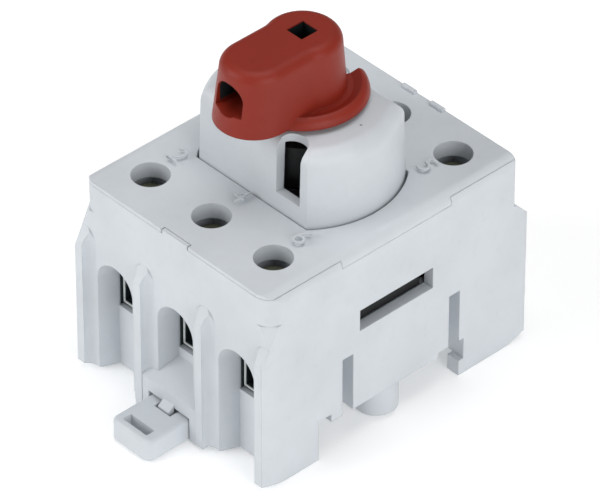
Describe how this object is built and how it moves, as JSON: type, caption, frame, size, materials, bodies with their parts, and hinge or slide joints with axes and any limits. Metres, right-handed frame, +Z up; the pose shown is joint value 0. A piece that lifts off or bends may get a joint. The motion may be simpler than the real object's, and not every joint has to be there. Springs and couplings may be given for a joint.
{
  "type": "rotary cam switch",
  "caption": "Rail-mounted rotary cam switch with a red padlockable handle on a flat-sided turret, screw terminals front and back, and a sprung rail latch.",
  "frame": {"origin": "where the handle's axis meets the mounting plane under the feet", "axes": "+Z up along the handle's axis, -Y towards the front terminals and the rail latch, +X right seen from the front"},
  "size_m": [0.052, 0.0788, 0.0768],
  "materials": {
    "housing_grey": "satin moulded thermoplastic",
    "latch_grey": "satin moulded thermoplastic",
    "inner_black": "matt moulded",
    "handle_red": "fine satin",
    "shaft_steel": "drawn bar",
    "spring_steel": "rolled strip",
    "screw_zinc": "zinc plated",
    "cage_zinc": "zinc plated",
    "contact_copper": "plain copper alloy"
  },
  "bodies": {
    "housing": {"base_housing": "housing_grey", "top_cover": "housing_grey", "turret": "housing_grey", "bearing_plate": "inner_black", "terminal_screws": "screw_zinc", "clamp_cage_1": "cage_zinc", "clamp_cage_2": "cage_zinc", "clamp_cage_3": "cage_zinc", "clamp_cage_4": "cage_zinc", "clamp_cage_5": "cage_zinc", "clamp_cage_6": "cage_zinc", "line_contact_1": "contact_copper", "line_contact_2": "contact_copper", "line_contact_3": "contact_copper", "load_contact_1": "contact_copper", "load_contact_2": "contact_copper", "load_contact_3": "contact_copper"},
    "rotor": {"handle": "handle_red", "drive_shaft": "shaft_steel", "cam_disc": "inner_black", "lock_drum": "inner_black", "snap_spring": "spring_steel"},
    "contact_carriage": {"contact_slider": "inner_black", "contact_bridge_1": "contact_copper", "contact_bridge_2": "contact_copper", "contact_bridge_3": "contact_copper", "contact_spring_1": "spring_steel", "contact_spring_2": "spring_steel", "contact_spring_3": "spring_steel"},
    "latch": {"rail_latch": "latch_grey"}
  },
  "joints": [
    {"name": "handle_turn", "type": "hinge", "parent": "housing", "child": "rotor", "pos_m": [0, 0, 0.05], "axis": [0, 0, 1], "range_deg": [0, 90]},
    {"name": "carriage_slide", "type": "slide", "parent": "housing", "child": "contact_carriage", "axis": [0, 1, 0], "range_m": [0, 0.006]},
    {"name": "latch_pull", "type": "slide", "parent": "housing", "child": "latch", "axis": [0, -1, 0], "range_m": [0, 0.004], "stiffness_N_per_m": 800}
  ],
  "couplings": [
    {"joint": "carriage_slide", "follows": "handle_turn", "m_per_rad": 0.0038197}
  ]
}
